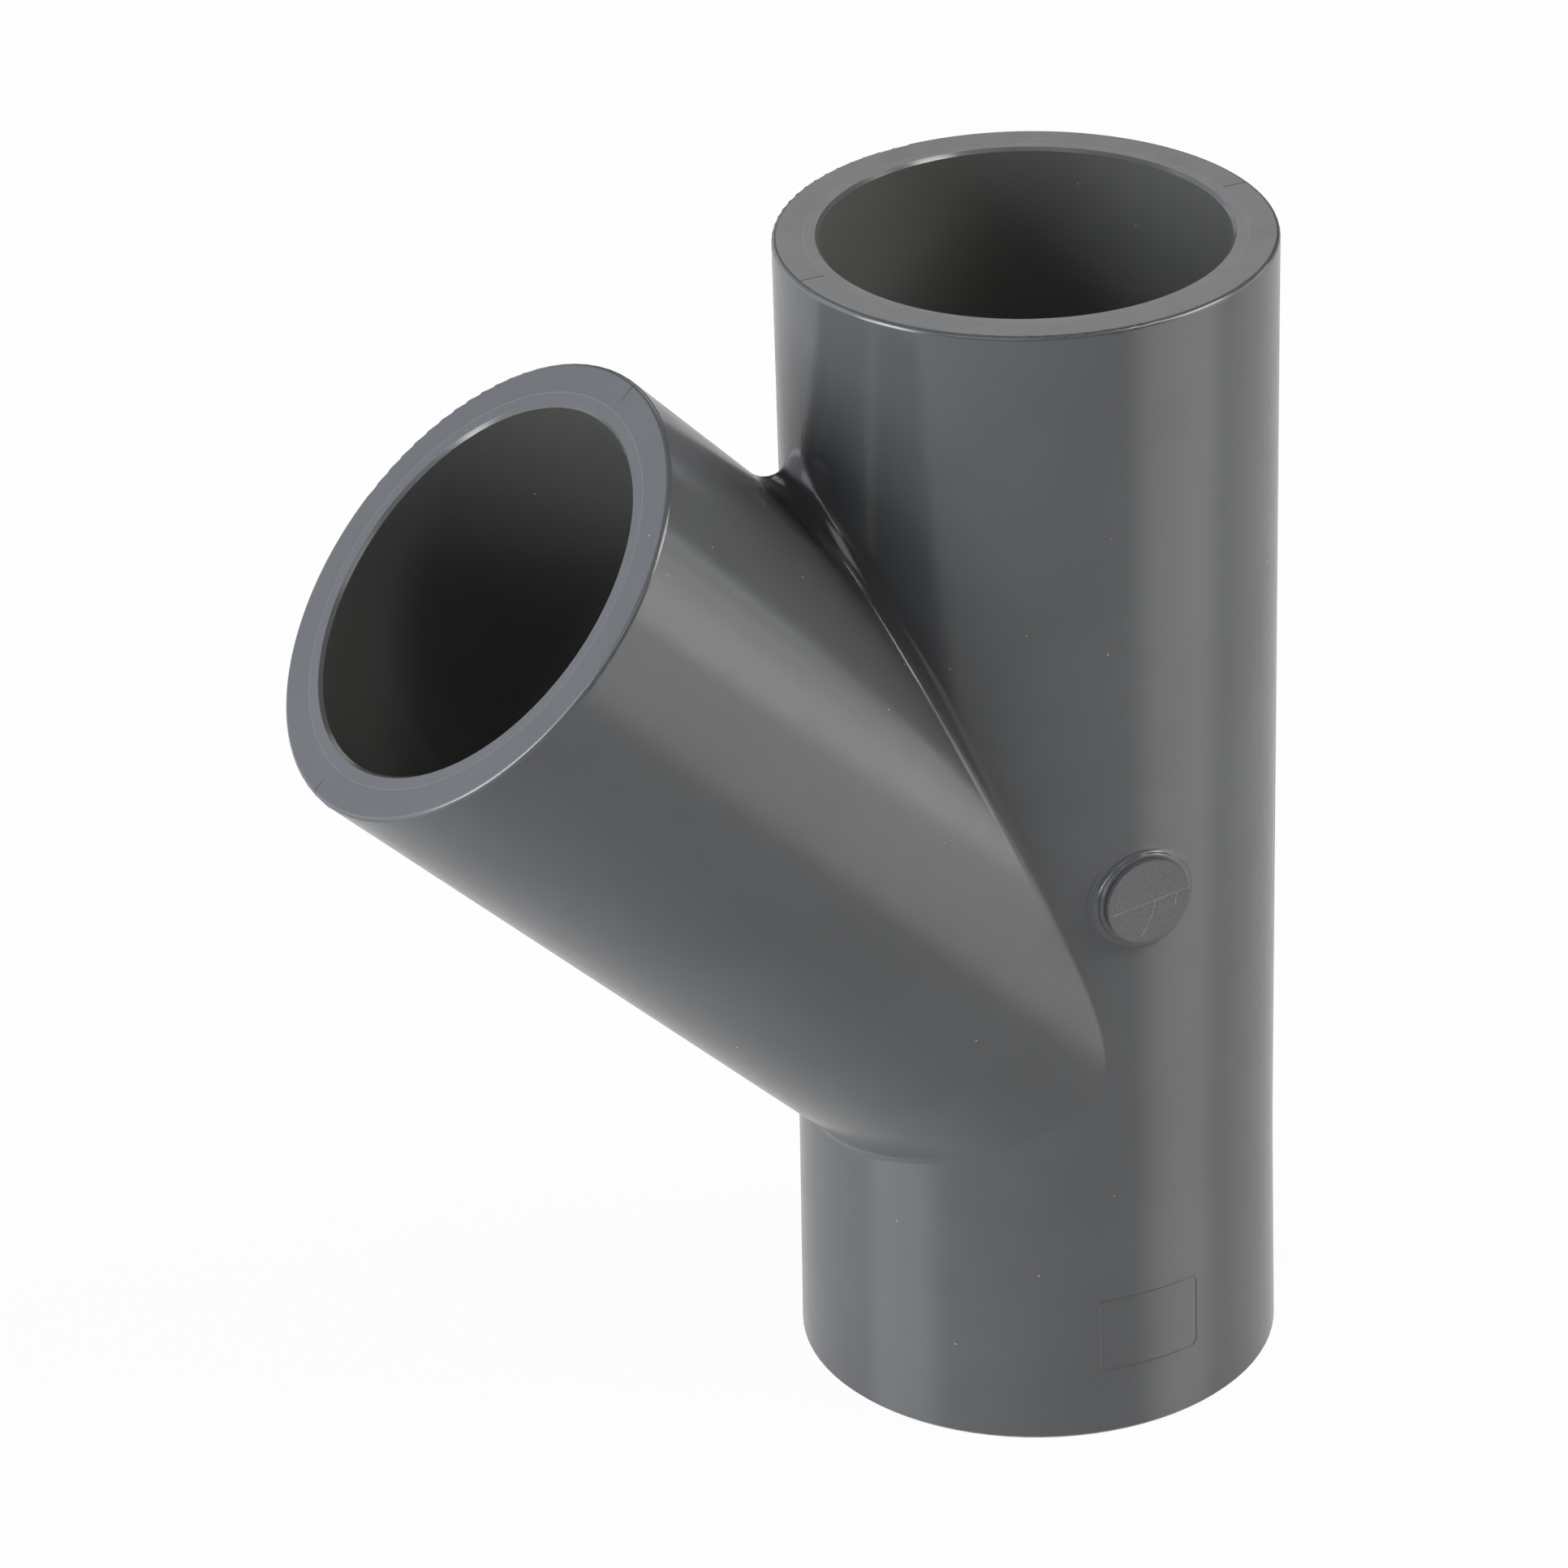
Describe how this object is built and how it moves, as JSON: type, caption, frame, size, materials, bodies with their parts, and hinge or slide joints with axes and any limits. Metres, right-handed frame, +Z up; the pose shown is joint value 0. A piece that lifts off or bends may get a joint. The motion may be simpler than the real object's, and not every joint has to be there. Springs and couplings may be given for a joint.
{
  "type": "lateral wye pipe fitting",
  "caption": "Dark grey moulded plastic 45 degree lateral wye with a plain pipe socket at each open end and a rounded seam round its branch.",
  "frame": {"origin": "centre of the run's lower mouth, on the plane of its end face", "axes": "+Z up the run's centreline to the upper mouth; the branch leaves towards -X and +Z at 45 degrees in the XZ plane; +Y points to the back, away from the moulding gate disc"},
  "size_m": [0.1222, 0.0607, 0.1478],
  "materials": {
    "pvc_body": "satin as-moulded dark grey rigid plastic"
  },
  "bodies": {
    "root": {"wye_body": "pvc_body"}
  },
  "joints": []
}
